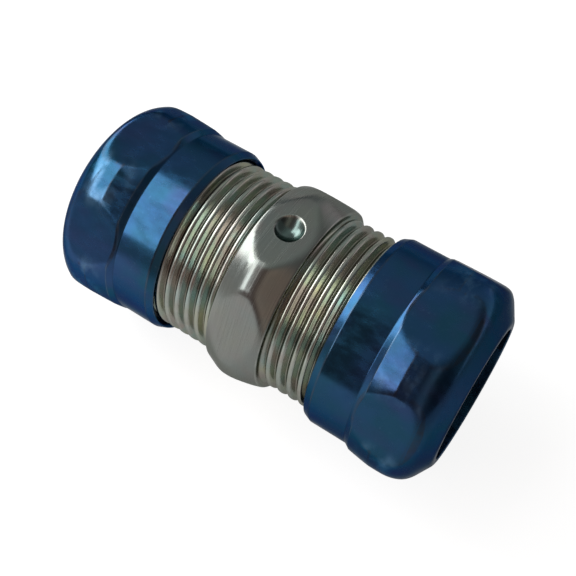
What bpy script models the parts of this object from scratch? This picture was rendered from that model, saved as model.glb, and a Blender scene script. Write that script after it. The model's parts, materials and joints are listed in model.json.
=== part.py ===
"""Compression coupling for half-inch thin-wall steel conduit, lying on its side with both nuts backed off.

X runs along the coupling's axis and Z is up. The origin is on the axis, in the middle of the body's
hexagon. Each side is built in its own frame, whose Z runs outwards along the axis, and is then turned
to face right (+X) or left (-X). All lengths are in metres and all angles in degrees.
"""

import math

import bmesh
import bpy
from mathutils import Euler, Matrix

# The conduit that the coupling joins: half-inch trade size
CONDUIT_DIAMETER = 0.01793
CONDUIT_CLEARANCE = 0.0002

# Thread between the body and its nuts: 16 turns to the inch, right-handed. The phase is the angle by
# which it has turned at the body's middle.
THREAD_PITCH = 0.0015875
THREAD_DEPTH = 0.0008
THREAD_CREST_FLAT = 0.00028
THREAD_FLANK_ANGLE = 30.0
THREAD_CLEARANCE = 0.0003
THREAD_PHASE = 165.0

# Gap between pieces that bear on each other
FITTED_GAP = 0.0003

# Body: the wall between its bore and the thread's root, then the hexagon's band
BODY_LENGTH = 0.036
BODY_WALL = 0.002365
BODY_END_STEP = 0.0001
BODY_HEX_WIDTH = 0.0078
BODY_FLAT_RISE = 0.00097
BODY_CORNER_RISE = 0.00085
BODY_HEX_BEVEL_ANGLE = 20.0
BODY_FLAT_TILT = -2.0
STOP_DIMPLE_DIAMETER = 0.0039
STOP_DIMPLE_DEPTH = 0.0011
STOP_NUB_DIAMETER = 0.003
STOP_NUB_HEIGHT = 0.0009

# Gland nuts: the wall over the thread makes the skirt, and the flats and corners rise from it
NUT_LENGTH = 0.0169
NUT_WALL = 0.00087
NUT_RIM_BEVEL_LENGTH = 0.001
NUT_RIM_BEVEL_DEPTH = 0.00042
NUT_RIM_WIDTH = 0.00015
NUT_FLAT_RISE = 0.0002
NUT_CORNER_RISE = 0.0008
NUT_STEP_RISE = 0.0005
NUT_STEP_ANGLE = 32.0
NUT_SHOULDER_ANGLE = 9.0
NUT_CORNER_LENGTH = 0.0018
NUT_DOME_RADIUS = 0.0042
NUT_DOME_ANGLE = 60.0
NUT_END_CONE_LENGTH = 0.00125
NUT_THROAT_CLEARANCE = 0.000135
NUT_THROAT_LENGTH = 0.0017
NUT_THREAD_REACH = 0.0089

# Split compression ring and sealing ring inside each nut
RING_LENGTH = 0.0056
RING_WALL = 0.00175
RING_EDGE_WALL = 0.0003
RING_FRONT_ANGLE = 30.0
RING_BACK_LENGTH = 0.0009
RING_SPLIT = 0.0016
RING_SEAT_DEPTH = 0.002015
SEAL_WIDTH = 0.00035
SEAL_RIM_LENGTH = 0.0007

# How far each nut is backed off from where it is tight, and the tilt of its flats
NUT_BACKED_OFF = {"right": 0.0015, "left": 0.0027}
NUT_FLAT_TILT = {"right": 4.0, "left": -5.0}

# Facets round the turned pieces, round each turn of thread, round the rings and along a nut's dome
ROUND_STEPS = 48
THREAD_STEPS = 32
RING_STEPS = 36
DOME_STEPS = 5

# How far a cutting tool reaches past what it cuts, how near two corners are one, and how sharp an
# edge is that isn't shaded smooth
TOOL_MARGIN = 0.001
GRAZE = 4e-6
SHARP_ANGLE = 14.0

# Radii that follow, from the bore outwards
BORE_RADIUS = CONDUIT_DIAMETER / 2 + CONDUIT_CLEARANCE
ROOT_RADIUS = BORE_RADIUS + BODY_WALL
CREST_RADIUS = ROOT_RADIUS + THREAD_DEPTH
END_RADIUS = ROOT_RADIUS - BODY_END_STEP
BODY_FLAT_RADIUS = CREST_RADIUS + BODY_FLAT_RISE
BODY_CORNER_RADIUS = BODY_FLAT_RADIUS + BODY_CORNER_RISE
THROAT_RADIUS = BORE_RADIUS + NUT_THROAT_CLEARANCE
RING_OUTER_RADIUS = BORE_RADIUS + RING_WALL
RING_FRONT_RADIUS = BORE_RADIUS + RING_EDGE_WALL
CAVITY_RADIUS = RING_OUTER_RADIUS + FITTED_GAP
SKIRT_RADIUS = CREST_RADIUS + THREAD_CLEARANCE + NUT_WALL
NUT_FLAT_RADIUS = SKIRT_RADIUS + NUT_FLAT_RISE
NUT_CORNER_RADIUS = NUT_FLAT_RADIUS + NUT_CORNER_RISE

# Places that follow. Those in a nut are measured from its rim, and the ring's front is where the body's
# mouth stops it when the nut is tight.
BODY_END = BODY_LENGTH / 2
CONE_TOP = NUT_LENGTH - NUT_THROAT_LENGTH
CONE_FOOT = CONE_TOP - (CAVITY_RADIUS - THROAT_RADIUS)
SEAL_FRONT = CONE_FOOT - SEAL_RIM_LENGTH - FITTED_GAP
RING_BACK = SEAL_FRONT - FITTED_GAP
RING_FRONT = RING_BACK - RING_LENGTH
TIGHT_STANDOFF = BODY_END - RING_SEAT_DEPTH - RING_FRONT
NUT_STANDOFF = {side: TIGHT_STANDOFF + backed_off for side, backed_off in NUT_BACKED_OFF.items()}


def tan(degrees):
    return math.tan(math.radians(degrees))


def new_collection(name):
    collection = bpy.data.collections.new(name)
    bpy.context.scene.collection.children.link(collection)
    return collection


def new_material(name, colour, metallic, roughness):
    material = bpy.data.materials.new(name)
    material.use_nodes = True
    shader = material.node_tree.nodes["Principled BSDF"]
    shader.inputs["Base Color"].default_value = (*colour, 1.0)
    shader.inputs["Metallic"].default_value = metallic
    shader.inputs["Roughness"].default_value = roughness
    material.diffuse_color = (*colour, 1.0)
    return material


# Clear the scene
for old in list(bpy.data.objects):
    bpy.data.objects.remove(old, do_unlink=True)

PARTS = new_collection("conduit_coupling")
TOOLS = new_collection("cutters")
TOOLS.hide_render = True

ZINC = new_material("zinc_plated_steel", (0.52, 0.53, 0.50), 1.0, 0.35)
BLUE = new_material("blue_zinc_plated_steel", (0.03, 0.10, 0.24), 1.0, 0.28)
RING_STEEL = new_material("plain_ring_steel", (0.45, 0.45, 0.44), 1.0, 0.4)
SEAL_PLASTIC = new_material("sealing_ring_plastic", (0.85, 0.84, 0.80), 0.0, 0.5)


def new_object(name, mesh, collection):
    """Adds a mesh to the scene. A tool is hidden from renders and drawn as wires."""
    obj = bpy.data.objects.new(name, mesh)
    collection.objects.link(obj)
    if collection == TOOLS:
        obj.hide_render = True
        obj.display_type = "WIRE"
    return obj


def profile_mesh(name, points, closed):
    """A profile in the XZ plane from (radius, height) points, as edges for a Screw modifier."""
    mesh = bpy.data.meshes.new(name)
    edges = [(i, i + 1) for i in range(len(points) - 1)]
    if closed:
        edges.append((len(points) - 1, 0))
    mesh.from_pydata([(radius, 0.0, height) for radius, height in points], edges, [])
    return mesh


def turned(name, points, collection, closed=False, steps=ROUND_STEPS):
    """Turns a profile round Z. The profile runs down its outer side, from top to bottom."""
    obj = new_object(name, profile_mesh(name, points, closed), collection)
    screw = obj.modifiers.new("turn", "SCREW")
    screw.axis = "Z"
    screw.steps = screw.render_steps = steps
    screw.use_merge_vertices = True
    screw.merge_threshold = 1e-6
    return obj


def boolean(target, operation, tool):
    """Cuts, joins or trims the target with a tool."""
    modifier = target.modifiers.new(tool.name, "BOOLEAN")
    modifier.operation = operation
    modifier.solver = "EXACT"
    modifier.object = tool


def baked_mesh(obj):
    """The object's mesh with its modifiers applied."""
    bpy.context.view_layer.update()
    graph = bpy.context.evaluated_depsgraph_get()
    return bpy.data.meshes.new_from_object(obj.evaluated_get(graph))


def finish(obj, material):
    """Applies the modifiers, gives the piece its material and shades its round faces smooth.

    Where a facet's edge grazes another facet, a Boolean leaves two corners a few thousandths of a
    millimetre apart. Such corners become one.
    """
    mesh = baked_mesh(obj)
    obj.modifiers.clear()
    solid = bmesh.new()
    solid.from_mesh(mesh)
    bmesh.ops.triangulate(solid, faces=solid.faces)
    bmesh.ops.remove_doubles(solid, verts=solid.verts, dist=GRAZE)
    bmesh.ops.dissolve_degenerate(solid, edges=solid.edges, dist=GRAZE)
    solid.to_mesh(mesh)
    solid.free()
    obj.data = mesh
    mesh.name = obj.name
    mesh.materials.clear()
    mesh.materials.append(material)
    mesh.shade_smooth()
    mesh.set_sharp_from_angle(angle=math.radians(SHARP_ANGLE))
    return obj


def place(obj, side, distance):
    """Turns a piece built along +Z to face outwards on its side, at a distance from the body's middle."""
    sign = 1.0 if side == "right" else -1.0
    obj.rotation_euler = Euler((0.0, sign * math.pi / 2, 0.0))
    obj.location = (sign * distance, 0.0, 0.0)


def flat_angle(side, tilt):
    """The angle about Z, in a side's own frame, of a flat that is tilted from straight up towards -Y."""
    return math.radians(tilt if side == "right" else -tilt)


def hexagon(name, flat_radius, height, angle):
    """A six-sided bar along Z, as a trimming tool, with one flat facing the given angle."""
    mesh = bpy.data.meshes.new(name)
    bar = bmesh.new()
    corner_radius = flat_radius / math.cos(math.radians(30.0))
    bmesh.ops.create_cone(
        bar, cap_ends=True, segments=6, radius1=corner_radius, radius2=corner_radius, depth=height
    )
    bmesh.ops.rotate(bar, verts=bar.verts, matrix=Matrix.Rotation(angle, 3, "Z"))
    bar.to_mesh(mesh)
    bar.free()
    return new_object(name, mesh, TOOLS)


def thread_height(side):
    """The height, in a side's own frame, at which the thread's crest crosses the direction of +X.

    One helix runs through the whole body. Turned end for end, it is the same helix half a turn on.
    """
    height = THREAD_PITCH * THREAD_PHASE / 360.0
    return height if side == "right" else -height - THREAD_PITCH / 2


def threaded_rod(name, crest_height, low, high, clearance):
    """A solid rod with the thread on it from below low to above high, grown by a clearance.

    A profile one pitch long is screwed up the axis, so that each turn meets the next one edge to edge.
    The helical edge that is left at each end is closed with a fan of faces to a point on the axis.
    """
    crest = CREST_RADIUS + clearance
    root = ROOT_RADIUS + clearance
    half_crest = THREAD_CREST_FLAT / 2
    half_base = half_crest + (crest - root) * tan(THREAD_FLANK_ANGLE)
    start = crest_height + (math.floor((low - crest_height) / THREAD_PITCH) - 1) * THREAD_PITCH
    turns = math.ceil((high - start) / THREAD_PITCH) + 1
    outline = [
        (root, start - half_base + THREAD_PITCH),
        (root, start + half_base),
        (crest, start + half_crest),
        (crest, start - half_crest),
        (root, start - half_base),
    ]
    obj = new_object(name, profile_mesh(name, outline, False), TOOLS)
    screw = obj.modifiers.new("helix", "SCREW")
    screw.axis = "Z"
    screw.screw_offset = THREAD_PITCH
    screw.iterations = turns
    screw.steps = screw.render_steps = THREAD_STEPS
    screw.use_merge_vertices = False
    obj.data = baked_mesh(obj)
    obj.modifiers.clear()

    rod = bmesh.new()
    rod.from_mesh(obj.data)
    bmesh.ops.remove_doubles(rod, verts=rod.verts, dist=1e-6)
    middle = start + turns * THREAD_PITCH / 2
    for end in (-1, 1):
        rim = [
            edge
            for edge in rod.edges
            if edge.is_boundary and end * (edge.verts[0].co.z + edge.verts[1].co.z) > 2 * end * middle
        ]
        grown = bmesh.ops.extrude_edge_only(rod, edges=rim)["geom"]
        points = [item for item in grown if isinstance(item, bmesh.types.BMVert)]
        tip = middle + end * (turns / 2 + 2) * THREAD_PITCH
        bmesh.ops.pointmerge(rod, verts=points, merge_co=(0.0, 0.0, tip))
    bmesh.ops.recalc_face_normals(rod, faces=rod.faces)
    rod.to_mesh(obj.data)
    rod.free()
    return obj


def mouth_radius(distance):
    """The cone in the body's mouth, which the compression ring reaches when the nut is tight."""
    gap = FITTED_GAP / math.cos(math.radians(RING_FRONT_ANGLE))
    depth = BODY_END - distance
    return RING_FRONT_RADIUS + gap + (RING_SEAT_DEPTH - depth) * tan(RING_FRONT_ANGLE)


def dome_ball(diameter, depth):
    """The radius of a ball that a flat or a wall cuts in a circle of this diameter, at this depth."""
    return (diameter**2 / 4 + depth**2) / (2 * depth)


def ball(name, radius, distance, angle):
    """A ball whose middle is at a distance from the axis, in the body's own frame."""
    mesh = bpy.data.meshes.new(name)
    sphere = bmesh.new()
    bmesh.ops.create_uvsphere(sphere, u_segments=20, v_segments=12, radius=radius)
    sphere.to_mesh(mesh)
    sphere.free()
    obj = new_object(name, mesh, TOOLS)
    obj.rotation_euler = Euler((0.0, math.pi / 2, angle))
    obj.location = (distance * math.cos(angle), distance * math.sin(angle), 0.0)
    return obj


def make_body():
    half_band = BODY_HEX_WIDTH / 2
    bevel_foot = half_band - BODY_CORNER_RISE / tan(BODY_HEX_BEVEL_ANGLE)
    upper_half = [(0.0, half_band), (BODY_FLAT_RADIUS, half_band), (BODY_CORNER_RADIUS, bevel_foot)]
    lower_half = [(radius, -height) for radius, height in reversed(upper_half)]
    body = turned("coupling_body", upper_half + lower_half, PARTS)
    angle = flat_angle("right", BODY_FLAT_TILT)
    boolean(body, "INTERSECT", hexagon("body_hexagon", BODY_FLAT_RADIUS, 2 * BODY_LENGTH, angle))
    rod = threaded_rod("body_thread", thread_height("right"), -BODY_END, BODY_END, 0.0)
    boolean(body, "UNION", rod)

    # Trimmed to a tube: square ends, chamfers that run out past the thread, and a bore with a cone
    # at each mouth
    outside = BODY_CORNER_RADIUS + TOOL_MARGIN
    chamfer_foot = BODY_END - (outside - END_RADIUS)
    cone_foot = BODY_END - (mouth_radius(BODY_END) - BORE_RADIUS) / tan(RING_FRONT_ANGLE)
    upper_half = [
        (BORE_RADIUS, cone_foot),
        (mouth_radius(BODY_END), BODY_END),
        (END_RADIUS, BODY_END),
        (outside, chamfer_foot),
    ]
    lower_half = [(radius, -height) for radius, height in reversed(upper_half)]
    tube = turned("body_tube", upper_half + lower_half, TOOLS, closed=True)
    boolean(body, "INTERSECT", tube)

    # Conduit stop: dimples pressed in from two opposite flats, which raise nubs in the bore
    for index in range(2):
        turn = math.pi + angle + index * math.pi
        nub_radius = dome_ball(STOP_NUB_DIAMETER, STOP_NUB_HEIGHT)
        nub_middle = BORE_RADIUS + nub_radius - STOP_NUB_HEIGHT
        boolean(body, "UNION", ball(f"stop_nub_{index}", nub_radius, nub_middle, turn))
        dimple_radius = dome_ball(STOP_DIMPLE_DIAMETER, STOP_DIMPLE_DEPTH)
        dimple_middle = BODY_FLAT_RADIUS + dimple_radius - STOP_DIMPLE_DEPTH
        boolean(body, "DIFFERENCE", ball(f"stop_dimple_{index}", dimple_radius, dimple_middle, turn))

    place(finish(body, ZINC), "right", 0.0)


def nut_outline():
    """The nut's section, with its rim at a height of zero: the outer side, the bore, then the throat."""
    dome = []
    for step in range(DOME_STEPS + 1):
        bend = math.radians(NUT_DOME_ANGLE) * step / DOME_STEPS
        radius = NUT_CORNER_RADIUS - NUT_DOME_RADIUS * (1 - math.cos(bend))
        dome.append((radius, NUT_DOME_RADIUS * math.sin(bend)))
    dome_radius, dome_length = dome[-1]
    end_radius = dome_radius - NUT_END_CONE_LENGTH * tan(NUT_DOME_ANGLE)
    dome_start = NUT_LENGTH - NUT_END_CONE_LENGTH - dome_length
    shoulder_top = dome_start - NUT_CORNER_LENGTH
    step_radius = SKIRT_RADIUS + NUT_STEP_RISE
    step_top = shoulder_top - (NUT_CORNER_RADIUS - step_radius) / tan(NUT_SHOULDER_ANGLE)
    step_foot = step_top - NUT_STEP_RISE / tan(NUT_STEP_ANGLE)
    rim_radius = SKIRT_RADIUS - NUT_RIM_BEVEL_DEPTH
    lead_radius = rim_radius - NUT_RIM_WIDTH
    return [
        (THROAT_RADIUS, NUT_LENGTH),
        (end_radius, NUT_LENGTH),
        *[(radius, dome_start + height) for radius, height in reversed(dome)],
        (NUT_CORNER_RADIUS, shoulder_top),
        (step_radius, step_top),
        (SKIRT_RADIUS, step_foot),
        (SKIRT_RADIUS, NUT_RIM_BEVEL_LENGTH),
        (rim_radius, 0.0),
        (lead_radius, 0.0),
        (CAVITY_RADIUS, lead_radius - CAVITY_RADIUS),
        (CAVITY_RADIUS, CONE_FOOT),
        (THROAT_RADIUS, CONE_TOP),
    ]


def make_nut(side):
    nut = turned(f"gland_nut_{side}", nut_outline(), PARTS, closed=True)
    angle = flat_angle(side, NUT_FLAT_TILT[side])
    bar = hexagon(f"nut_hexagon_{side}", NUT_FLAT_RADIUS, 4 * NUT_LENGTH, angle)
    boolean(nut, "INTERSECT", bar)

    # Thread: the body's own helix, seen from this nut's rim and grown by the clearance
    height = thread_height(side) - NUT_STANDOFF[side]
    rod = threaded_rod(f"nut_thread_{side}", height, -TOOL_MARGIN, NUT_THREAD_REACH, THREAD_CLEARANCE)
    outside = CREST_RADIUS + THREAD_CLEARANCE + TOOL_MARGIN
    reach = [(0.0, NUT_THREAD_REACH), (outside, NUT_THREAD_REACH), (outside, -NUT_LENGTH), (0.0, -NUT_LENGTH)]
    boolean(rod, "INTERSECT", turned(f"nut_thread_reach_{side}", reach, TOOLS))
    boolean(nut, "DIFFERENCE", rod)
    place(finish(nut, BLUE), side, NUT_STANDOFF[side])


def make_seal(side):
    """Sealing ring, whose back is a cone that fits the one inside the nut."""
    cone_top = CONE_TOP - FITTED_GAP * math.sqrt(2)
    back_radius = BORE_RADIUS + SEAL_WIDTH
    profile = [
        (BORE_RADIUS, cone_top - (back_radius - THROAT_RADIUS)),
        (back_radius, cone_top - (back_radius - THROAT_RADIUS)),
        (RING_OUTER_RADIUS, cone_top - (RING_OUTER_RADIUS - THROAT_RADIUS)),
        (RING_OUTER_RADIUS, SEAL_FRONT),
        (BORE_RADIUS, SEAL_FRONT),
    ]
    seal = turned(f"sealing_ring_{side}", profile, PARTS, closed=True, steps=RING_STEPS)
    place(finish(seal, SEAL_PLASTIC), side, NUT_STANDOFF[side])


def make_ring(side):
    """Split steel ring that the nut squeezes on to the conduit, with a cone at its front and its back."""
    front_length = (RING_OUTER_RADIUS - RING_FRONT_RADIUS) / tan(RING_FRONT_ANGLE)
    profile = [
        (BORE_RADIUS, RING_BACK),
        (RING_OUTER_RADIUS - RING_BACK_LENGTH, RING_BACK),
        (RING_OUTER_RADIUS, RING_BACK - RING_BACK_LENGTH),
        (RING_OUTER_RADIUS, RING_FRONT + front_length),
        (RING_FRONT_RADIUS, RING_FRONT),
        (BORE_RADIUS, RING_FRONT),
    ]
    ring = turned(f"compression_ring_{side}", profile, PARTS, closed=True, steps=RING_STEPS)

    slot_mesh = bpy.data.meshes.new(f"ring_slot_{side}")
    slot = bmesh.new()
    bmesh.ops.create_cube(slot, size=1.0)
    size = (2 * RING_OUTER_RADIUS, RING_SPLIT, 3 * RING_LENGTH)
    bmesh.ops.scale(slot, vec=size, verts=slot.verts)
    middle = (RING_OUTER_RADIUS, 0.0, (RING_FRONT + RING_BACK) / 2)
    bmesh.ops.translate(slot, vec=middle, verts=slot.verts)
    slot.to_mesh(slot_mesh)
    slot.free()
    boolean(ring, "DIFFERENCE", new_object(f"ring_slot_{side}", slot_mesh, TOOLS))
    place(finish(ring, RING_STEEL), side, NUT_STANDOFF[side])


make_body()
for side in ("right", "left"):
    make_nut(side)
    make_seal(side)
    make_ring(side)
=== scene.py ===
# %% [markdown]
# # Finishing a compression coupling for thin-wall steel conduit
# The coupling joins two lengths of half-inch electrical conduit. It is a short threaded steel tube with
# a hexagon in its middle and a blue gland nut on each end. Under each nut lie a split steel ring, which
# the nut squeezes on to the conduit, and a plastic ring that keeps out the wet.
#
# The solids come in as a fixed frame. This script gives each one a finer surface in the same place,
# then its finish, and sets up the floor, the lamps and the camera.

import json
import math

import bpy
import numpy as np
from mathutils import Matrix, Vector


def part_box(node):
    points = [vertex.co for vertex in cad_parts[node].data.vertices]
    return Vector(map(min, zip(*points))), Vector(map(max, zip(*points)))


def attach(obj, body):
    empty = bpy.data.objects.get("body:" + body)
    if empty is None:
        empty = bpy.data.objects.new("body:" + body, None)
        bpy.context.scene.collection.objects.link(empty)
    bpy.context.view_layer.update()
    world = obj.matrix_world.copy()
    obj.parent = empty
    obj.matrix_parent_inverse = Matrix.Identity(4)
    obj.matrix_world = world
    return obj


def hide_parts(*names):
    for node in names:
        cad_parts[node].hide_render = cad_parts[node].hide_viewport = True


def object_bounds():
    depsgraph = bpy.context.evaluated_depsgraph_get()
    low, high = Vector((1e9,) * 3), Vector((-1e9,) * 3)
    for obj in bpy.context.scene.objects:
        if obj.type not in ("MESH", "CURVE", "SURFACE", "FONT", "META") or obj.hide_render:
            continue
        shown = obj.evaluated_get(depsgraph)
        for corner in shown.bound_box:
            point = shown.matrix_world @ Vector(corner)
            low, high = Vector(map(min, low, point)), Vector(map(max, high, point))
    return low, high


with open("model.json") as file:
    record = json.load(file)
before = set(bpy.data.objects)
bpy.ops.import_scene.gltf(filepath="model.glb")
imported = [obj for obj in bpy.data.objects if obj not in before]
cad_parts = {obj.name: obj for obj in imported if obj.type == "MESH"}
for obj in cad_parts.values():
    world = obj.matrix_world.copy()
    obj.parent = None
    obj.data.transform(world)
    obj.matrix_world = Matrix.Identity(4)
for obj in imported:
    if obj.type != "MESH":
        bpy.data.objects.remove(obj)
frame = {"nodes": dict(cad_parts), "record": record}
solid_low, solid_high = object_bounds()
print("solids:", sorted(frame["nodes"]))
print("size in mm:", [round(1000 * side, 1) for side in solid_high - solid_low])

# %% [markdown]
# ## The camera
# The photograph was taken from close by, so the nut that is nearer looks clearly larger. A fit to the
# outline gave the camera's place and its lens. The camera stays level, and it aims almost exactly at
# the middle of the hexagon. A frame 36 mm wide at 58 mm is a short portrait lens.

# %% The camera's place and lens
MM = 0.001
CAMERA_PLACE = Vector((35.4, -52.85, 106.91)) * MM
CAMERA_AIM = Vector((0.11, -0.03, 0.0)) * MM
LENS_MM = 58.33
SENSOR_MM = 36.0
NEAREST_SEEN = 5 * MM

camera_data = bpy.data.cameras.new("camera")
camera_data.lens = LENS_MM
camera_data.sensor_width = SENSOR_MM
camera_data.clip_start = NEAREST_SEEN
camera = bpy.data.objects.new("camera", camera_data)
camera.location = CAMERA_PLACE
camera.rotation_euler = (CAMERA_AIM - CAMERA_PLACE).to_track_quat("-Z", "Y").to_euler()
bpy.context.scene.collection.objects.link(camera)
bpy.context.scene.camera = camera
print("camera is", round((CAMERA_PLACE - CAMERA_AIM).length / MM), "mm away")

# %% [markdown]
# ## A short way to write shader nodes
# A finish is a small network of nodes. Written out in full, each node takes several lines, so this
# helper makes one node, sets what it is given by name, and plugs in whatever is an output of another
# node.

# %% Node helper
def add_node(tree, kind, settings=None, **inputs):
    """Makes a node. An input is a plain value, or an output socket to plug in.

    An input goes by its name, or by its number, such as i0 or i6, where several share a name.
    """
    node = tree.nodes.new(kind)
    for name, value in (settings or {}).items():
        setattr(node, name, value)
    for name, value in inputs.items():
        numbered = name[0] == "i" and name[1:].isdigit()
        socket = node.inputs[int(name[1:]) if numbered else name.replace("_", " ")]
        if isinstance(value, bpy.types.NodeSocket):
            tree.links.new(value, socket)
        else:
            socket.default_value = value
    return node


# %% [markdown]
# Most nodes in this script do one of three things: work with numbers, move a number from one range to
# another, or mix two colours. Each of those gets a helper of its own, so that a finish reads like a
# recipe.

# %% Helpers for numbers and colours
def worked_out(tree, operation, *values):
    """The result of a Math node for two or three numbers or outputs."""
    inputs = {f"i{number}": value for number, value in enumerate(values)}
    return add_node(tree, "ShaderNodeMath", {"operation": operation}, **inputs).outputs[0]


def times(tree, first, second):
    """Two numbers or outputs multiplied."""
    return worked_out(tree, "MULTIPLY", first, second)


def ranged(tree, value, low, high, out_low=0.0, out_high=1.0):
    """Turns a value between low and high into one between two others, and holds it there."""
    node = add_node(tree, "ShaderNodeMapRange", {"clamp": True}, i0=value, i1=low, i2=high,
                    i3=out_low, i4=out_high)
    return node.outputs["Result"]


def mixed(tree, share, first, second):
    """A colour between two others, each a plain colour or an output."""
    node = add_node(tree, "ShaderNodeMix", {"data_type": "RGBA"}, i0=share, i6=first, i7=second)
    return node.outputs[2]


def grey(level):
    """A plain grey, from 0 for black to 1 for white."""
    return (level, level, level, 1.0)


# %% [markdown]
# ## The floor
# The coupling lies on plain white card. The card is partly ordinary matt white, which takes a soft shadow
# under the part, and partly a glow that only the camera and mirror-like surfaces see. The metal in the
# photograph shows a card that is dimmer than the clean white behind it, so mirrors get less of the glow.
# It fades from left to right, because the right nut's end stays dark, and from the axis to the back.

# %% Floor
FLOOR_HALF_SIZE = 3.0
FLOOR_WHITE = 0.34
GLOW_TO_CAMERA = 0.87
LEFT_MIRROR_GLOW = 0.54
RIGHT_MIRROR_GLOW = 0.08
FADE_START = -0.05
FADE_END = 0.10
BACK_SHARE = 0.5
BACK_END = 0.06

floor_mesh = bpy.data.meshes.new("floor")
signs = ((-1, -1), (1, -1), (1, 1), (-1, 1))
corners = [(x * FLOOR_HALF_SIZE, y * FLOOR_HALF_SIZE, 0.0) for x, y in signs]
floor_mesh.from_pydata(corners, [], [(0, 1, 2, 3)])
floor = bpy.data.objects.new("floor", floor_mesh)
floor.location.z = solid_low.z
bpy.context.scene.collection.objects.link(floor)
print("floor is", round(-solid_low.z / MM, 2), "mm below the axis")

# %% White card
card = bpy.data.materials.new("white_card")
card.use_nodes = True
tree = card.node_tree
tree.nodes.clear()
rays = add_node(tree, "ShaderNodeLightPath")
here = add_node(tree, "ShaderNodeTexCoord")
split = add_node(tree, "ShaderNodeSeparateXYZ", i0=here.outputs["Object"])
fade = ranged(tree, split.outputs["X"], FADE_START, FADE_END, LEFT_MIRROR_GLOW, RIGHT_MIRROR_GLOW)
back_fade = ranged(tree, split.outputs["Y"], 0.0, BACK_END, 1.0, BACK_SHARE)
mirrored = worked_out(tree, "MAXIMUM", rays.outputs["Is Glossy Ray"], rays.outputs["Is Transmission Ray"])
mirror_glow = times(tree, mirrored, times(tree, fade, back_fade))
glow = worked_out(tree, "MULTIPLY_ADD", rays.outputs["Is Camera Ray"], GLOW_TO_CAMERA, mirror_glow)
matt = add_node(tree, "ShaderNodeBsdfDiffuse", Color=grey(FLOOR_WHITE))
light = add_node(tree, "ShaderNodeEmission", Color=grey(1.0), Strength=glow)
both = add_node(tree, "ShaderNodeAddShader", i0=matt.outputs[0], i1=light.outputs[0])
add_node(tree, "ShaderNodeOutputMaterial", Surface=both.outputs[0])
floor_mesh.materials.append(card)
print(card.name, "has", len(tree.nodes), "nodes")

# %% [markdown]
# ## The lamps
# Bright metal shows its surroundings, so the lamps are also what the coupling is painted with. In the
# photograph a broad pale patch lies on the left nut's skirt and on the thread's crests. Mirrored back,
# it is a long soft lamp above and to the left, lying across the coupling. The flashes on the faces that
# slope to the left point to a second lamp, lower and at the far left.

# %% Lamps
LAMP_DISTANCE = 0.5


def soft_lamp(name, leaning, turned, rolled, size, radiance):
    """A rectangular lamp that faces the coupling, with its first side lying across the coupling's axis.

    It leans to the left by one angle from straight out, and is turned by the next from straight up
    towards the viewer. Rolled by the last one, its front end is higher than its back end.
    """
    leaning, turned, rolled = math.radians(leaning), math.radians(turned), math.radians(rolled)
    across = Vector((0.0, -math.cos(turned), -math.sin(turned)))
    upright = Vector((0.0, -math.sin(turned), math.cos(turned)))
    towards = Vector((-math.sin(leaning), 0.0, 0.0)) + upright * math.cos(leaning)
    across = across * math.cos(rolled) + towards.cross(across) * math.sin(rolled)
    data = bpy.data.lights.new(name, "AREA")
    data.shape = "RECTANGLE"
    data.size, data.size_y = size
    data.energy = radiance * math.pi * size[0] * size[1]
    lamp = bpy.data.objects.new(name, data)
    lamp.location = towards * LAMP_DISTANCE
    lamp.rotation_euler = Matrix((across, towards.cross(across), towards)).transposed().to_euler()
    bpy.context.scene.collection.objects.link(lamp)
    print(name, "sheds", round(data.energy, 2), "W")


soft_lamp("overhead_lamp", leaning=31.8, turned=26.0, rolled=0.0, size=(0.68, 0.155), radiance=2.6)
soft_lamp("side_lamp", leaning=60.0, turned=-18.0, rolled=25.0, size=(0.50, 0.25), radiance=3.6)

# %% [markdown]
# ## The room
# The rest of the room is dim. Its back, its top and its front each have a band of colours that runs from
# left to right, and one band blends into the next round the coupling's axis. The metal in the photograph
# tells their shades. The back gets paler to the right, and the top gets darker. The front is pale at the
# far left and dark in the middle, as the dark rectangle on the right nut shows, with a warmer and paler
# patch before it ends dark on the right. The camera itself sees plain white, as behind the real object.

# %% Room colours
BACK_COLOURS = (
    (-0.5, (0.10, 0.12, 0.13)),
    (-0.1, (0.24, 0.25, 0.26)),
    (0.5, (0.74, 0.66, 0.70)),
)
TOP_COLOURS = (
    (-0.5, (0.28, 0.29, 0.29)),
    (-0.1, (0.33, 0.37, 0.36)),
    (0.5, (0.12, 0.12, 0.12)),
)
FRONT_COLOURS = (
    (-0.45, (0.41, 0.40, 0.39)),
    (-0.3, (0.17, 0.12, 0.12)),
    (0.05, (0.15, 0.11, 0.10)),
    (0.42, (0.44, 0.35, 0.30)),
    (0.6, (0.13, 0.10, 0.09)),
    (0.8, (0.06, 0.05, 0.05)),
)
BACK_TO_TOP = (math.radians(-85.0), math.radians(-60.0))
TOP_TO_FRONT = (math.radians(0.0), math.radians(13.0))


def left_to_right(tree, rightness, colours):
    """A colour that changes along X, from pairs of (how far to the right, colour)."""
    ramp = add_node(tree, "ShaderNodeValToRGB", i0=rightness)
    stops = ramp.color_ramp.elements
    stops.remove(stops[1])
    for place, colour in colours:
        stops.new((place + 1) / 2).color = (*colour, 1.0)
    stops.remove(stops[0])
    return ramp.outputs["Color"]


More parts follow.
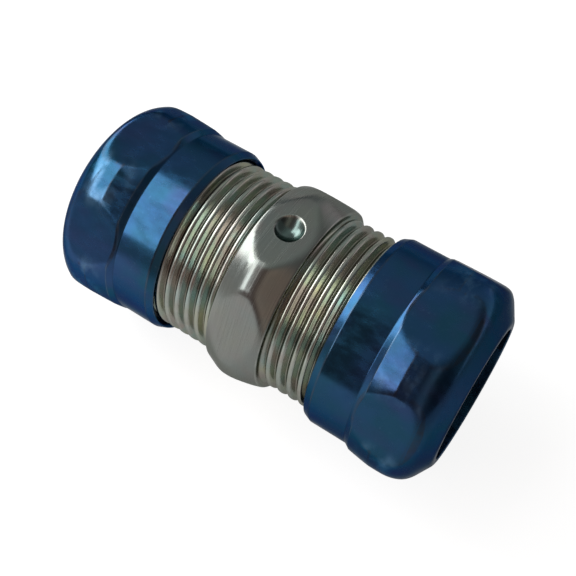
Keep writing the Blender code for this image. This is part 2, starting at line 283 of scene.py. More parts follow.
# %% Room
room = bpy.data.worlds.new("dim_room")
room.use_nodes = True
tree = room.node_tree
direction = add_node(tree, "ShaderNodeTexCoord")
split = add_node(tree, "ShaderNodeSeparateXYZ", i0=direction.outputs["Generated"])
rightness = ranged(tree, split.outputs["X"], -1.0, 1.0)
bearing = worked_out(tree, "ARCTAN2", times(tree, split.outputs["Y"], -1.0), split.outputs["Z"])
shade = left_to_right(tree, rightness, BACK_COLOURS)
for (start, end), colours in ((BACK_TO_TOP, TOP_COLOURS), (TOP_TO_FRONT, FRONT_COLOURS)):
    share = ranged(tree, bearing, start, end)
    shade = mixed(tree, share, shade, left_to_right(tree, rightness, colours))
seen = add_node(tree, "ShaderNodeLightPath").outputs["Is Camera Ray"]
shade = mixed(tree, seen, shade, grey(1.0))
tree.links.new(shade, tree.nodes["Background"].inputs["Color"])
bpy.context.scene.world = room
bpy.context.scene.view_settings.view_transform = "Standard"
print(room.name, "has", len(tree.nodes), "nodes")

# %% [markdown]
# ## From a section to a piece
# Every piece here was turned or formed round one axis, so each starts as its section: a line of points,
# each with a place along the axis and a radius. Real corners are never quite sharp. The first helper
# rounds each corner of a line with its own small radius, because those little curves are what catch the
# light. It also adds points along the straight stretches, for the hexagons to cut across.

# %% Rounded section line
ARC_STEPS = 5
LONGEST_CUT = 0.45


def rounded_corner(before, here, after, rounding):
    """Points on a small arc in the place of a corner. It takes up less than half of either side."""
    if rounding == 0.0:
        return [here]
    back, ahead = before - here, after - here
    reach_back, reach_ahead = np.linalg.norm(back), np.linalg.norm(ahead)
    back, ahead = back / reach_back, ahead / reach_ahead
    half_angle = math.acos(np.clip(back @ ahead, -1.0, 1.0)) / 2
    cut = min(rounding / math.tan(half_angle), LONGEST_CUT * reach_back, LONGEST_CUT * reach_ahead)
    start, end = here + back * cut, here + ahead * cut
    steps = np.linspace(0.0, 1.0, ARC_STEPS + 1)[:, None]
    return list((1 - steps) ** 2 * start + 2 * steps * (1 - steps) * here + steps**2 * end)


def rounded_line(corners, longest_step):
    """Rows of (place, radius) along a line of corners, each given as (place, radius, rounding)."""
    points = [np.array(corner[:2]) for corner in corners]
    rows = [points[0]]
    for i in range(1, len(corners) - 1):
        rows += rounded_corner(points[i - 1], points[i], points[i + 1], corners[i][2])
    rows.append(points[-1])
    fine = []
    for row, following in zip(rows, rows[1:]):
        pieces = max(1, math.ceil(np.linalg.norm(following - row) / longest_step))
        fine += [row + (following - row) * k / pieces for k in range(pieces)]
    return np.array(fine + [rows[-1]])


# %% [markdown]
# The next helper measures how strongly a grid of points bulges at each point. The finishes use that to
# wear the plating thin on edges and to leave dirt in corners.

# %% Bulge of a grid
SHORTEST_REACH = 1e-7


def bulge_of(points, normals, closed_round):
    """How convex (above zero) or hollow (below zero) the grid is at each point, per millimetre."""
    total = np.zeros(points.shape[:2])
    for axis in (0, 1):
        ahead, behind = np.roll(points, -1, axis) - points, np.roll(points, 1, axis) - points
        reach_ahead = np.maximum(np.linalg.norm(ahead, axis=2), SHORTEST_REACH)
        reach_behind = np.maximum(np.linalg.norm(behind, axis=2), SHORTEST_REACH)
        bend = ahead / reach_ahead[..., None] + behind / reach_behind[..., None]
        share = -(bend * normals).sum(2) * 2 / (reach_ahead + reach_behind)
        if axis == 1 and not closed_round:
            share[:, [0, -1]] = 0.0
        total += share
    return total * MM


# %% [markdown]
# The last helper of this set spins a section round the axis into a mesh of four-sided faces. The radius
# may change with the angle, which is how the hexagons, the thread and the dimple are made: a round bar
# with flats milled on it is exactly such a change of radius. Angles run about the axis from straight
# down, and a right-handed thread climbs with them. The mesh remembers its bulge at each point.

# %% Spun mesh
SHORTEST_NORMAL = 1e-12


def spun(name, place, angle, radius, closed_round=True, marks=None):
    """A piece from grids of place, angle and radius. The rows close on themselves as a section does.

    Marks are further grids, each kept under its own name for the finishes to read.
    """
    points = np.stack([place, radius * np.sin(angle), -radius * np.cos(angle)], 2)
    along = np.roll(points, -1, 0) - np.roll(points, 1, 0)
    around = np.stack([0 * angle, radius * np.cos(angle), radius * np.sin(angle)], 2)
    sideways = np.roll(points, -1, 1) - np.roll(points, 1, 1)
    normals = np.cross(along, sideways if closed_round else around)
    normals /= np.maximum(np.linalg.norm(normals, axis=2, keepdims=True), SHORTEST_NORMAL)
    first_place, first_radius = place[:, 0], radius[:, 0]
    area = (first_place * np.roll(first_radius, -1) - np.roll(first_place, -1) * first_radius).sum()
    grid = np.arange(place.size).reshape(place.shape)
    below = np.roll(grid, -1, 0)
    faces = np.stack([grid, np.roll(grid, -1, 1), np.roll(below, -1, 1), below], 2)
    ends = []
    if not closed_round:
        faces = faces[:, :-1]
        ends = [grid[::-1, 0].tolist(), grid[:, -1].tolist()]
    if area > 0:
        faces = faces[..., ::-1]
        ends = [end[::-1] for end in ends]
    else:
        normals = -normals
    mesh = bpy.data.meshes.new(name)
    mesh.from_pydata(points.reshape(-1, 3).tolist(), [], faces.reshape(-1, 4).tolist() + ends)
    mesh.shade_smooth()
    for end in mesh.polygons[len(mesh.polygons) - len(ends):]:
        end.use_smooth = False
    kept = {"bulge": bulge_of(points, normals, closed_round), **(marks or {})}
    for kept_name, values in kept.items():
        attribute = mesh.attributes.new(kept_name, "FLOAT", "POINT")
        attribute.data.foreach_set("value", values.astype(np.float32).ravel())
    piece = bpy.data.objects.new(name, mesh)
    bpy.context.scene.collection.objects.link(piece)
    triangles = sum(len(face.vertices) - 2 for face in mesh.polygons)
    print(name, "has", triangles, "triangles")
    return piece


def full_turn(columns):
    """Angles evenly spaced round the axis."""
    return np.linspace(0.0, 2 * math.pi, columns, endpoint=False)


# %% [markdown]
# ## The hexagon
# A spanner needs flats. A point on a flat is further from the axis the further its angle is from the
# flat's middle. The real edge between a flat and the round form beside it is never sharp, and a soft
# minimum of the two radii gives that. The wider it is, the rounder the edge.

# %% Flats and soft edges
def soft_min(first, second, width):
    """The smaller of two radii, with the corner between them rounded over a width."""
    share = np.clip(0.5 + 0.5 * (second - first) / width, 0.0, 1.0)
    return second + (first - second) * share - width * share * (1 - share)


def soft_max(first, second, width):
    """The larger of two radii, with the corner between them rounded over a width."""
    return -soft_min(-first, -second, width)


def flat_radius(angle, nearest, tilt):
    """The radius of a hexagon at each angle. The tilt, in degrees, turns its top flat to the viewer."""
    top = math.pi + math.radians(tilt)
    offset = (angle - top + math.pi / 6) % (math.pi / 3) - math.pi / 6
    return nearest / np.cos(offset)


# %% [markdown]
# ## The thread
# Body and nuts share one right-handed thread of 16 turns to the inch. At each point the helper works
# out how far the nearest crest is along the axis and reads the height from the tooth's form: a crest
# that is slightly crowned, flanks at 30 degrees and a narrow root, all a little rounded, as a rolled
# thread is. The crown is what turns each crest into one broad streak of light.

# %% Thread
PITCH = 1.5875 * MM
ROOT_RADIUS = 11.53 * MM
THREAD_DEPTH = 0.8 * MM
CREST_WIDTH = 0.44 * MM
CREST_CROWN = 0.7 * MM
FLANK_ANGLE = math.radians(30.0)
THREAD_PHASE = 165.0
CREST_SOFTNESS = 0.08 * MM
ROOT_SOFTNESS = 0.12 * MM
ROWS_PER_TURN = 18


def thread_radius(place, angle, growth=0.0):
    """The thread's radius at a place along the axis and an angle, grown where it is the nut's own."""
    crest_place = PITCH * (THREAD_PHASE / 360.0 + angle / (2 * math.pi))
    distance = np.abs((place - crest_place + PITCH / 2) % PITCH - PITCH / 2)
    root = growth + ROOT_RADIUS + 0 * distance
    crest = root + THREAD_DEPTH - distance**2 / (2 * CREST_CROWN)
    flank = root + THREAD_DEPTH - (distance - CREST_WIDTH / 2) / math.tan(FLANK_ANGLE)
    return soft_max(soft_min(flank, crest, CREST_SOFTNESS), root, ROOT_SOFTNESS)


# %% [markdown]
# ## The body
# The body is one piece of steel: thread on both ends, a hexagon in the middle, a bore right through. The
# hexagon's corners are chamfered like a bolt head's, which gives each flat its arched edges, and these
# edges are well rounded. A round dimple is pressed into the top flat and another into the flat below.
# They raise two nubs in the bore, which stop the conduit halfway. The thread's last groove runs out into
# a short plain neck beside the hexagon.

# %% Body sizes
BORE_RADIUS = 9.165 * MM
BODY_END = 18.0 * MM
BODY_END_RADIUS = 11.43 * MM
MOUTH_RADIUS = 10.98 * MM
MOUTH_FOOT = 14.87 * MM
BAND_HALF = 3.9 * MM
BAND_FLAT_RADIUS = 13.3 * MM
BAND_CORNER_RADIUS = 14.35 * MM
BAND_EDGE_RADIUS = 13.1 * MM
BAND_BEVEL = math.radians(23.0)
BAND_TILT = 1.0
NECK_RADIUS = 12.0 * MM
NECK_END = 4.3 * MM
DIMPLE_TILT = -2.0
DIMPLE_RADIUS = 1.95 * MM
DIMPLE_DEPTH = 1.1 * MM
NUB_RADIUS = 1.5 * MM
NUB_HEIGHT = 0.9 * MM
EDGE_SOFTNESS = 0.14 * MM
BAND_SOFTNESS = 0.30 * MM

# %% [markdown]
# The rows of points lie close together on the thread and on the hexagon. Each row gets a lift: zero
# where it is on the thread, one on the hexagon, and in between on the step that joins them, whose shape
# is a short list of (distance from the hexagon's side in millimetres, lift). The columns lie close
# together round the dimples and wider elsewhere.

# %% Rows of the body's outside
END_CUTS = (0.0, 0.03, 0.08)
THREAD_END = BODY_END - 0.12 * MM
THREAD_START = BAND_HALF + 0.16 * MM
STEP_SHAPE = (
    (0.08, 0.01), (0.03, 0.05), (0.01, 0.12), (0.0, 0.3), (0.0, 0.5),
    (0.0, 0.7), (-0.005, 0.86), (-0.03, 0.95), (-0.09, 0.99),
)
BAND_ROWS_START = BAND_HALF - 0.18 * MM
BAND_ROWS_END = 0.03 * MM
BAND_ROW_STEP = 0.11 * MM

thread_step = PITCH / ROWS_PER_TURN
thread_count = math.ceil((THREAD_END - THREAD_START) / thread_step)
outer_half = [(BODY_END - cut * MM, 0.0) for cut in END_CUTS]
outer_half += [(place, 0.0) for place in np.linspace(THREAD_END, THREAD_START, thread_count)]
outer_half += [(BAND_HALF + offset * MM, lift) for offset, lift in STEP_SHAPE]
outer_half += [(place, 1.0) for place in np.arange(BAND_ROWS_START, BAND_ROWS_END, -BAND_ROW_STEP)]
outer_rows = outer_half + [(0.0, 1.0)] + [(-place, lift) for place, lift in reversed(outer_half)]
print(len(outer_rows), "rows outside")

# %% Rows of the bore and columns
BORE_STEPS = 8
NUB_STEPS = 21
BESIDE_NUB = 1.7 * MM
FINE_REACH = 12.0
FINE_STEP = 0.7
COARSE_STEP = 2.6

bore_places = np.concatenate([
    np.linspace(-MOUTH_FOOT, -BESIDE_NUB, BORE_STEPS),
    np.linspace(-NUB_RADIUS, NUB_RADIUS, NUB_STEPS),
    np.linspace(BESIDE_NUB, MOUTH_FOOT, BORE_STEPS),
])
bore_rows = [(-BODY_END, MOUTH_RADIUS)] + [(place, BORE_RADIUS) for place in bore_places]
bore_rows += [(BODY_END, MOUTH_RADIUS)]

fine = np.arange(-FINE_REACH, FINE_REACH, FINE_STEP)
coarse = np.arange(FINE_REACH, 180.0 - FINE_REACH, COARSE_STEP)
body_angles = np.radians(np.concatenate([fine, coarse, fine + 180.0, coarse + 180.0]) + DIMPLE_TILT)
print(len(bore_rows), "rows in the bore and", len(body_angles), "columns")

# %% [markdown]
# The outside is a hexagon and a thread, blended by the lift, less the dimples. Three marks go with it for
# the zinc finish. The first is the lift, because the hexagon is duller than the thread. The hexagon's
# flats and corners are as the press left them, and its chamfers are turned, so a second mark called
# pressed tells those two apart. A third one marks the dimples, where the plating took a green tint and
# where the colour is darkened as painted shade in the hollow.

# %% Body shape
DIMPLE_MARK_DEPTH = 0.3 * MM


def spot(place, angle, radius, spot_radius, height):
    """The height of two round domes, one on top and one underneath, at the middle of the body."""
    across = (angle - math.radians(DIMPLE_TILT) + math.pi / 2) % math.pi - math.pi / 2
    distance = np.minimum(np.hypot(place, radius * np.sin(across)), spot_radius)
    ball = (spot_radius**2 + height**2) / (2 * height)
    return np.sqrt(ball**2 - distance**2) - (ball - height)


place, angle = np.meshgrid([row[0] for row in outer_rows], body_angles, indexing="ij")
lift = np.array([row[1] for row in outer_rows])[:, None]
chamfer = BODY_END_RADIUS + (BODY_END - np.abs(place))
screwed = soft_min(thread_radius(place, angle), chamfer, ROOT_SOFTNESS)
screwed = soft_max(screwed, NECK_RADIUS - (np.abs(place) - NECK_END), ROOT_SOFTNESS)
bevel = BAND_EDGE_RADIUS + (BAND_HALF - np.minimum(np.abs(place), BAND_HALF)) * math.tan(BAND_BEVEL)
flats = flat_radius(angle, BAND_FLAT_RADIUS, BAND_TILT)
forged = soft_min(flats, BAND_CORNER_RADIUS + 0 * place, EDGE_SOFTNESS)
band = soft_min(bevel, forged, BAND_SOFTNESS)
dent = spot(place, angle, band, DIMPLE_RADIUS, DIMPLE_DEPTH)
outer_radius = screwed * (1 - lift) + (band - dent) * lift

bore_place, bore_angle = np.meshgrid([row[0] for row in bore_rows], body_angles, indexing="ij")
bore_radius = np.repeat(np.array([row[1] for row in bore_rows])[:, None], len(body_angles), 1)
bore_radius -= spot(bore_place, bore_angle, bore_radius, NUB_RADIUS, NUB_HEIGHT)

outer_marks = {
    "hexagon": lift + 0 * place,
    "pressed": np.clip((bevel - forged) / EDGE_SOFTNESS, 0.0, 1.0) * lift * (dent == 0.0),
    "dimple": np.clip(dent / DIMPLE_MARK_DEPTH, 0.0, 1.0) * lift,
}
body_marks = {name: np.vstack([values, 0 * bore_radius]) for name, values in outer_marks.items()}
body = spun("threaded_body", np.vstack([place, bore_place]), np.vstack([angle, bore_angle]),
            np.vstack([outer_radius, bore_radius]), marks=body_marks)

# %% [markdown]
# ## The gland nuts
# Each nut is formed from thick tube: a plain round skirt over the thread, a small step, then a hexagon,
# then a dome that closes in round the conduit. Its section is one line round the outside and the rim,
# the thread inside, and one line round the cavity, where the rings sit.

# %% Nut sizes
NUT_LENGTH = 16.9 * MM
SKIRT_RADIUS = 13.5 * MM
NUT_FLAT_RADIUS = 13.7 * MM
NUT_CORNER_RADIUS = 14.5 * MM
STEP_RISE = 0.5 * MM
STEP_ANGLE = math.radians(32.0)
SHOULDER_ANGLE = math.radians(9.0)
CORNER_LENGTH = 1.8 * MM
DOME_RADIUS = 4.2 * MM
DOME_ANGLE = math.radians(60.0)
DOME_STEPS = 40
END_CONE_LENGTH = 1.25 * MM
RIM_BEVEL_LENGTH = 1.0 * MM
RIM_RADIUS = 13.08 * MM
LEAD_RADIUS = 12.93 * MM
LEAD_DEPTH = 0.05 * MM
THREAD_CLEARANCE = 0.3 * MM
THREAD_REACH = 8.9 * MM
CAVITY_RADIUS = 11.215 * MM
CAVITY_END = 13.285 * MM
THROAT_RADIUS = 9.3 * MM
THROAT_TOP = 15.2 * MM
NUT_TILT = {"right": 4.0, "left": -5.0}

# %% [markdown]
# Each corner of the outside has its own rounding. The edge round the open end was rolled over in the
# press, so it is the roundest one.

# %% Outside of a nut
NUT_STEP = 0.12 * MM
OUTSIDE_START = NUT_LENGTH - 0.25 * MM
THROAT_EDGE_ROUNDING = 0.12 * MM
END_ROUNDING = 2.4 * MM
SHOULDER_ROUNDING = 2.0 * MM
STEP_ROUNDING = 0.35 * MM
RIM_BEVEL_ROUNDING = 0.6 * MM
RIM_ROUNDING = 0.08 * MM
LEAD_ROUNDING = 0.05 * MM

dome = []
for step in range(DOME_STEPS + 1):
    bend = DOME_ANGLE * step / DOME_STEPS
    dome.append((DOME_RADIUS * math.sin(bend), NUT_CORNER_RADIUS - DOME_RADIUS * (1 - math.cos(bend))))
dome_start = NUT_LENGTH - END_CONE_LENGTH - dome[-1][0]
shoulder_top = dome_start - CORNER_LENGTH
step_radius = SKIRT_RADIUS + STEP_RISE
step_top = shoulder_top - (NUT_CORNER_RADIUS - step_radius) / math.tan(SHOULDER_ANGLE)
step_foot = step_top - STEP_RISE / math.tan(STEP_ANGLE)
end_radius = dome[-1][1] - END_CONE_LENGTH * math.tan(DOME_ANGLE)

outside = rounded_line(
    [
        (OUTSIDE_START, THROAT_RADIUS, 0.0),
        (NUT_LENGTH, THROAT_RADIUS, THROAT_EDGE_ROUNDING),
        (NUT_LENGTH, end_radius, END_ROUNDING),
        *[(dome_start + place, radius, 0.0) for place, radius in reversed(dome)],
        (shoulder_top, NUT_CORNER_RADIUS, SHOULDER_ROUNDING),
        (step_top, step_radius, STEP_ROUNDING),
        (step_foot, SKIRT_RADIUS, STEP_ROUNDING),
        (RIM_BEVEL_LENGTH, SKIRT_RADIUS, RIM_BEVEL_ROUNDING),
        (0.0, RIM_RADIUS, RIM_ROUNDING),
        (0.0, LEAD_RADIUS, LEAD_ROUNDING),
        (LEAD_DEPTH, LEAD_RADIUS - LEAD_DEPTH, 0.0),
    ],
    NUT_STEP,
)
print(len(outside), "rows outside a nut")

# %% Inside of a nut
CAVITY_STEP = 1.0 * MM
CAVITY_ROUNDING = 0.2 * MM
THROAT_ROUNDING = 0.1 * MM
INSIDE_END = NUT_LENGTH - 0.3 * MM

thread_rows = np.arange(LEAD_DEPTH + thread_step, THREAD_REACH, thread_step)
inside = rounded_line(
    [
        (THREAD_REACH, CAVITY_RADIUS, 0.0),
        (CAVITY_END, CAVITY_RADIUS, CAVITY_ROUNDING),
        (THROAT_TOP, THROAT_RADIUS, THROAT_ROUNDING),
        (INSIDE_END, THROAT_RADIUS, 0.0),
    ],
    CAVITY_STEP,
)
print(len(thread_rows), "rows on the thread and", len(inside), "round the cavity")

# %% [markdown]
# The flats only bite where the nut is thicker than the hexagon, so their edges come out as arcs on the
# shoulder and on the dome. The edge is crisp at the shoulder and gets soft along the dome. A mark called
# proud grows where the nut is thickest, because other nuts in the bin rub it there. The nut and its rings
# are placed from the frame, each starting at its end that is nearer the middle of the coupling.

# %% The two nuts
NUT_COLUMNS = 240
DOME_SOFTNESS = 0.5 * MM


def lies_along(node, side):
    """Which way along X a solid points away from the middle, where it starts and how long it is."""
    low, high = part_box(node)
    sign, start = (1.0, low.x) if side == "right" else (-1.0, high.x)
    return sign, start, high.x - low.x


def gland_nut(side):
    """One nut: its outside with the flats, its thread and its cavity."""
    sign, rim, length = lies_along(f"gland_nut_{side}", side)
    angles = full_turn(NUT_COLUMNS)

    place, angle = np.meshgrid(outside[:, 0], angles, indexing="ij")
    radius = np.repeat(outside[:, 1:], NUT_COLUMNS, 1)
    flats = flat_radius(angle, NUT_FLAT_RADIUS, NUT_TILT[side])
    softness = np.interp(place, (shoulder_top + CORNER_LENGTH / 2, dome_start + DOME_RADIUS / 2),
                         (EDGE_SOFTNESS, DOME_SOFTNESS))
    outer = soft_min(radius, flats, softness)

    thread_place, thread_angle = np.meshgrid(thread_rows, angles, indexing="ij")
    thread = thread_radius(rim + sign * thread_place, thread_angle, THREAD_CLEARANCE)
    thread = soft_max(thread, LEAD_RADIUS - thread_place, ROOT_SOFTNESS)

    cavity_place, cavity_angle = np.meshgrid(inside[:, 0], angles, indexing="ij")
    cavity = np.repeat(inside[:, 1:], NUT_COLUMNS, 1)

    places = np.vstack([place, thread_place, cavity_place])
    nut_angles = np.vstack([angle, thread_angle, cavity_angle])
    radii = np.vstack([outer, thread, cavity])
    proud = np.clip((radii - step_radius) / (NUT_CORNER_RADIUS - step_radius), 0.0, 1.0)
    print(f"the solid is {length / MM:.2f} mm long and this nut {NUT_LENGTH / MM:.2f} mm")
    return spun(f"blue_nut_{side}", rim + sign * places, nut_angles, radii, marks={"proud": proud})


nuts = {side: gland_nut(side) for side in ("right", "left")}

# %% [markdown]
# ## The rings inside
# The plastic ring sits deepest, with its back on the cone inside the nut. In front of it lies the steel
# ring. It is split by a slot, so that the nut can squeeze it on to the conduit, and its long front cone
# goes into the mouth of the body. Only their inner edges show, at the open ends.

# %% Ring sizes
RING_OUTER_RADIUS = 10.915 * MM
RING_FRONT_RADIUS = 9.465 * MM
RING_CONE_ANGLE = math.radians(30.0)
RING_BACK_LENGTH = 0.9 * MM
RING_SLOT = 1.6 * MM
SLOT_ANGLE = {"right": 0.0, "left": math.pi}
SEAL_BACK_RADIUS = 9.515 * MM
SMALL_ROUNDING = 0.1 * MM
RING_STEP = 0.5 * MM
RING_COLUMNS = 144

ring_front_length = (RING_OUTER_RADIUS - RING_FRONT_RADIUS) / math.tan(RING_CONE_ANGLE)
seal_back_length = RING_OUTER_RADIUS - SEAL_BACK_RADIUS


# %% The four rings
def closed_section(corners):
    """The rows of a closed section: the line starts and ends in the middle of its first side."""
    first, second = corners[0], corners[1]
    middle = ((first[0] + second[0]) / 2, (first[1] + second[1]) / 2, 0.0)
    rows = rounded_line([middle, *corners[1:], first, middle], RING_STEP)
    return rows[:-1]


def ring(name, corners, sign, start, slot=None):
    """A ring from corners given as (distance into the ring, radius), split by a slot if it has one."""
    rows = closed_section([(place, radius, SMALL_ROUNDING) for place, radius in corners])
    place = np.repeat(start + sign * rows[:, :1], RING_COLUMNS, 1)
    radius = np.repeat(rows[:, 1:], RING_COLUMNS, 1)
    if slot is None:
        angle = np.repeat(full_turn(RING_COLUMNS)[None, :], len(rows), 0)
        return spun(name, place, angle, radius)
    half_slot = np.arcsin(RING_SLOT / 2 / rows[:, 1:])
    share = np.linspace(0.0, 1.0, RING_COLUMNS)[None, :]
    angle = slot + half_slot + (2 * math.pi - 2 * half_slot) * share
    return spun(name, place, angle, radius, closed_round=False)


def split_ring(side):
    """The steel ring: a long cone in front, a short one behind and a slot through one side."""
    sign, start, length = lies_along(f"compression_ring_{side}", side)
    corners = [
        (0.0, BORE_RADIUS),
        (0.0, RING_FRONT_RADIUS),
        (ring_front_length, RING_OUTER_RADIUS),
        (length - RING_BACK_LENGTH, RING_OUTER_RADIUS),
        (length, RING_OUTER_RADIUS - RING_BACK_LENGTH),
        (length, BORE_RADIUS),
    ]
    return ring(f"split_ring_{side}", corners, sign, start, SLOT_ANGLE[side])


def plastic_ring(side):
    """The sealing ring, with a cone behind that fits the nut's own."""
    sign, start, length = lies_along(f"sealing_ring_{side}", side)
    corners = [
        (0.0, BORE_RADIUS),
        (0.0, RING_OUTER_RADIUS),
        (length - seal_back_length, RING_OUTER_RADIUS),
        (length, SEAL_BACK_RADIUS),
        (length, BORE_RADIUS),
    ]
    return ring(f"plastic_ring_{side}", corners, sign, start)


rings = {side: (split_ring(side), plastic_ring(side)) for side in ("right", "left")}

# %% [markdown]
# ## Noise and masks
# No finish is even, so each one varies with noise that is fixed to the piece. The metal finishes also
# share two masks, both made from the remembered bulge. The first is bright on convex edges, where
# handling rubs plating thin. The second is bright in hollow corners, where it lays painted shade, as
# if less light reached them. Noise breaks both up. A round surface in the open bulges by about 0.08
# per millimetre, so the edge mask starts above that.

# %% Noise
def noise(tree, scale, detail=3.0, stretch=(1.0, 1.0, 1.0)):
    """Noise with this many spots to the metre, packed closer along an axis whose stretch is above one."""
    here = add_node(tree, "ShaderNodeTexCoord")
    placed = add_node(tree, "ShaderNodeMapping", Vector=here.outputs["Object"], Scale=stretch)
    texture = add_node(tree, "ShaderNodeTexNoise", Vector=placed.outputs["Vector"], Scale=scale,
                       Detail=detail)
    return texture.outputs["Factor" if "Factor" in texture.outputs else "Fac"]


def patchy(tree, scale, low, high, least=0.0, most=1.0, **noise_settings):
    """Patches: the share rises from least to most where the noise goes from low to high."""
    return ranged(tree, noise(tree, scale, **noise_settings), low, high, least, most)


# %% Masks
WEAR_PATCHES = {"scale": 700.0, "low": 0.35, "high": 0.65, "least": 0.25, "detail": 4.0}
# Patches that break up the painted shade in hollow corners.
HOLLOW_SHADE_PATCHES = {"scale": 350.0, "low": 0.3, "high": 0.7, "least": 0.5}


def mark(tree, name):
    """What a mesh remembers at each point under a name."""
    return add_node(tree, "ShaderNodeAttribute", {"attribute_name": name}).outputs["Fac"]


def rubbed(tree, low, high, most):
    """How worn a place is. It rises from nothing to most where the bulge goes from low to high."""
    worn = ranged(tree, mark(tree, "bulge"), low, high, 0.0, most)
    return times(tree, worn, patchy(tree, **WEAR_PATCHES))


def hollow_shade(tree, low, high, most):
    """How much painted shade a place gets. It rises from nothing to most where the hollow goes from low
    to high.
    """
    shaded = ranged(tree, mark(tree, "bulge"), -low, -high, 0.0, most)
    return times(tree, shaded, patchy(tree, **HOLLOW_SHADE_PATCHES))


# %% [markdown]
# A finish is put together in the same way each time. Colours are laid over each other, each with a share
# that says where it shows. Then the colour, the roughness and a very small bump go to the shader, and
# what is the same all over is set on the shader itself.

# %% Putting a finish together
BUMP_HEIGHT = 0.02 * MM
ROUND_LINES = (60.0, 1.0, 1.0)


def new_finish(name):
    """A new material, its node tree and its shader."""
    material = bpy.data.materials.new(name)
    material.use_nodes = True
    return material, material.node_tree, material.node_tree.nodes["Principled BSDF"]


def layered(tree, colour, layers):
    """A colour with others laid over it in turn, each given as (share, colour)."""
    for share, over in layers:
        colour = mixed(tree, share, colour, over)
    return colour


def turned_lines(tree):
    """Fine lines round the axis: noise that varies quickly along the part and slowly round it."""
    return noise(tree, 120.0, detail=4.0, stretch=ROUND_LINES)


def plug_in(tree, shader, colour, roughness, height, strength, **same_all_over):
    """Gives the shader its colour, roughness and bump, and the values that are the same all over."""
    bump = add_node(tree, "ShaderNodeBump", Height=height, Strength=strength, Distance=BUMP_HEIGHT)
    tree.links.new(colour, shader.inputs["Base Color"])
    tree.links.new(roughness, shader.inputs["Roughness"])
    tree.links.new(bump.outputs["Normal"], shader.inputs["Normal"])
    for name, value in same_all_over.items():
        shader.inputs[name.replace("_", " ")].default_value = value


# %% [markdown]
# ## Bright zinc
# The body is electroplated with zinc and dipped in a clear passivate, which leaves a thin film. The film
# tints the metal a little yellow here and a little green or rose there, in soft patches a few
# millimetres wide. The hexagon is greyer. On its flats and corners, which are as the press left them, the
# metal is darker and rougher, with brown stains. Cutting and rolling leave very fine lines round the
# axis.

# %% Zinc colours
ZINC_YELLOW = (0.46, 0.46, 0.35, 1.0)
ZINC_GREEN = (0.35, 0.44, 0.41, 1.0)
ZINC_ROSE = (0.42, 0.39, 0.35, 1.0)
ZINC_TURNED = (0.255, 0.265, 0.255, 1.0)
ZINC_PRESSED = (0.225, 0.205, 0.17, 1.0)
ZINC_STAIN = (0.17, 0.105, 0.07, 1.0)
# The dimples: a green tint, darkened as painted shade in the hollow.
ZINC_DIMPLE_TINT_AND_SHADE = (0.12, 0.19, 0.18, 1.0)
ZINC_RUBBED = (0.55, 0.57, 0.53, 1.0)
# Painted shade: a dark brown laid in the hollow corners of the zinc.
ZINC_HOLLOW_SHADE = (0.11, 0.08, 0.04, 1.0)
ZINC_EDGE = (0.5, 0.52, 0.5, 1.0)
TURNED_SHARE = 0.8
PRESSED_SHARE = 0.85
DIMPLE_SHARE = 0.8
PRESSED_ROUGHER = 0.1

# %% Zinc finish
zinc, tree, shader = new_finish("bright_zinc")
on_hexagon, on_pressed, in_dimple = [mark(tree, name) for name in ("hexagon", "pressed", "dimple")]
clouds = patchy(tree, 260.0, low=0.45, high=0.62, detail=2.0, stretch=(1.0, 1.3, 0.8))
stains = patchy(tree, 240.0, low=0.52, high=0.68, most=0.7, detail=4.0)
colour = layered(tree, ZINC_YELLOW, [
    (patchy(tree, 160.0, low=0.38, high=0.62), ZINC_GREEN),
    (clouds, ZINC_ROSE),
    (times(tree, on_hexagon, TURNED_SHARE), ZINC_TURNED),
    (times(tree, on_pressed, PRESSED_SHARE), ZINC_PRESSED),
    (times(tree, on_pressed, stains), ZINC_STAIN),
    # green tint and painted shade in the dimples
    (times(tree, in_dimple, DIMPLE_SHARE), ZINC_DIMPLE_TINT_AND_SHADE),
    (rubbed(tree, low=0.6, high=2.0, most=0.6), ZINC_RUBBED),
    # painted shade in the hollow corners
    (hollow_shade(tree, low=0.8, high=6.0, most=0.75), ZINC_HOLLOW_SHADE),
])
lines = turned_lines(tree)
roughness = ranged(tree, lines, low=0.3, high=0.7, out_low=0.16, out_high=0.3)
roughness = worked_out(tree, "MULTIPLY_ADD", on_pressed, PRESSED_ROUGHER, roughness)
plug_in(tree, shader, colour, roughness, height=lines, strength=0.25,
        Metallic=1.0, Specular_Tint=ZINC_EDGE)
print(zinc.name, "has", len(tree.nodes), "nodes")

# %% [markdown]
# ## Blue film
# The nuts have the same plating under a deep blue, see-through dye. The colour turns towards teal or
# violet in patches. On soft edges it has gone to a dark bronze, and it is thin and pale on sharp ones
# and where the proud places have scuffs. Tiny pale specks and faint handling marks finish it, and
# painted shade darkens the hollows almost to black. Light that grazes the film comes back paler than its
# own colour, and a thin clear gloss layer adds a few white glints.

# %% Blue colours
FILM_BLUE = (0.027, 0.086, 0.205, 1.0)
FILM_TEAL = (0.021, 0.090, 0.165, 1.0)
FILM_VIOLET = (0.042, 0.070, 0.185, 1.0)
FILM_BRONZE = (0.05, 0.05, 0.06, 1.0)
FILM_THIN = (0.16, 0.32, 0.52, 1.0)
FILM_SPECK = (0.08, 0.17, 0.30, 1.0)
FILM_EDGE = (0.26, 0.32, 0.40, 1.0)
# Painted shade: almost black, laid in the hollow corners of the nuts.
FILM_HOLLOW_SHADE = grey(0.01)
COAT_WEIGHT = 0.1
COAT_ROUGHNESS = 0.08

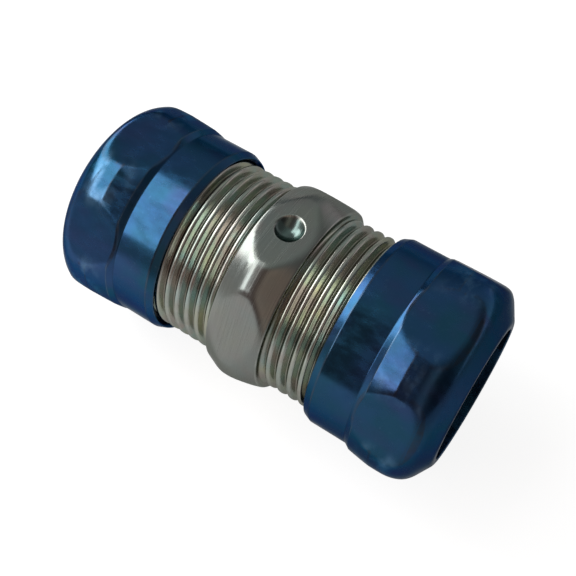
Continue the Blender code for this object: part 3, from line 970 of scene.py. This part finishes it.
# %% Blue finish
blue, tree, shader = new_finish("blue_film")
clouds = patchy(tree, 210.0, low=0.5, high=0.7, most=0.6, detail=2.0, stretch=(0.7, 1.2, 1.0))
scuffs = patchy(tree, 500.0, low=0.48, high=0.7, most=0.55, detail=5.0, stretch=(1.0, 0.6, 0.6))
colour = layered(tree, FILM_BLUE, [
    (patchy(tree, 130.0, low=0.4, high=0.6), FILM_TEAL),
    (clouds, FILM_VIOLET),
    (patchy(tree, 2600.0, low=0.66, high=0.74, most=0.3, detail=2.0), FILM_SPECK),
    (rubbed(tree, low=0.38, high=0.55, most=0.6), FILM_BRONZE),
    (rubbed(tree, low=1.0, high=3.0, most=0.35), FILM_THIN),
    (times(tree, mark(tree, "proud"), scuffs), FILM_THIN),
    # painted shade in the hollow corners
    (hollow_shade(tree, low=0.8, high=6.0, most=0.7), FILM_HOLLOW_SHADE),
])
roughness = patchy(tree, 420.0, low=0.35, high=0.65, least=0.16, most=0.3, detail=4.0,
                   stretch=(1.0, 2.2, 1.0))
plug_in(tree, shader, colour, roughness, height=noise(tree, 900.0), strength=0.2,
        Metallic=1.0, Specular_Tint=FILM_EDGE, Coat_Weight=COAT_WEIGHT, Coat_Roughness=COAT_ROUGHNESS)
print(blue.name, "has", len(tree.nodes), "nodes")

# %% [markdown]
# ## Ring steel and white plastic
# The split ring has a thin dull zinc coat with the same fine lines as the body. The sealing ring is
# off-white moulded plastic, a little soiled, with a finely uneven surface.

# %% Ring steel finish
RING_GREY = (0.45, 0.45, 0.43, 1.0)
RING_DARK = (0.30, 0.29, 0.27, 1.0)

steel, tree, shader = new_finish("dull_ring_steel")
colour = layered(tree, RING_GREY, [
    (patchy(tree, 300.0, low=0.35, high=0.65), RING_DARK),
    (rubbed(tree, low=0.8, high=5.0, most=0.6), ZINC_RUBBED),
])
lines = turned_lines(tree)
roughness = ranged(tree, lines, low=0.3, high=0.7, out_low=0.35, out_high=0.5)
plug_in(tree, shader, colour, roughness, height=lines, strength=0.3, Metallic=1.0)
print(steel.name, "has", len(tree.nodes), "nodes")

# %% White plastic finish
PLASTIC_WHITE = (0.82, 0.80, 0.74, 1.0)
PLASTIC_SOILED = (0.62, 0.58, 0.49, 1.0)

plastic, tree, shader = new_finish("white_plastic")
colour = layered(tree, PLASTIC_WHITE, [(patchy(tree, 400.0, low=0.4, high=0.65), PLASTIC_SOILED)])
roughness = patchy(tree, 900.0, low=0.3, high=0.7, least=0.4, most=0.55)
plug_in(tree, shader, colour, roughness, height=noise(tree, 1500.0), strength=0.15)
print(plastic.name, "has", len(tree.nodes), "nodes")

# %% [markdown]
# ## Putting the pieces on the frame
# Each new piece stands for one solid, moves with that solid's body, and takes its finish from the
# material it is given.

# %% Dress the frame
def dress(piece, node, material):
    """Gives a piece its finish, puts it on the body of the solid it stands for and hides that solid."""
    body = next(name for name, nodes in frame["record"]["behaviour"]["bodies"].items() if node in nodes)
    piece.data.materials.append(material)
    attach(piece, body)
    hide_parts(node)
    print(piece.name, "stands for", node, "and rides on", body)


dress(body, "coupling_body", zinc)
for side in ("right", "left"):
    steel_piece, plastic_piece = rings[side]
    dress(nuts[side], f"gland_nut_{side}", blue)
    dress(steel_piece, f"compression_ring_{side}", steel)
    dress(plastic_piece, f"sealing_ring_{side}", plastic)
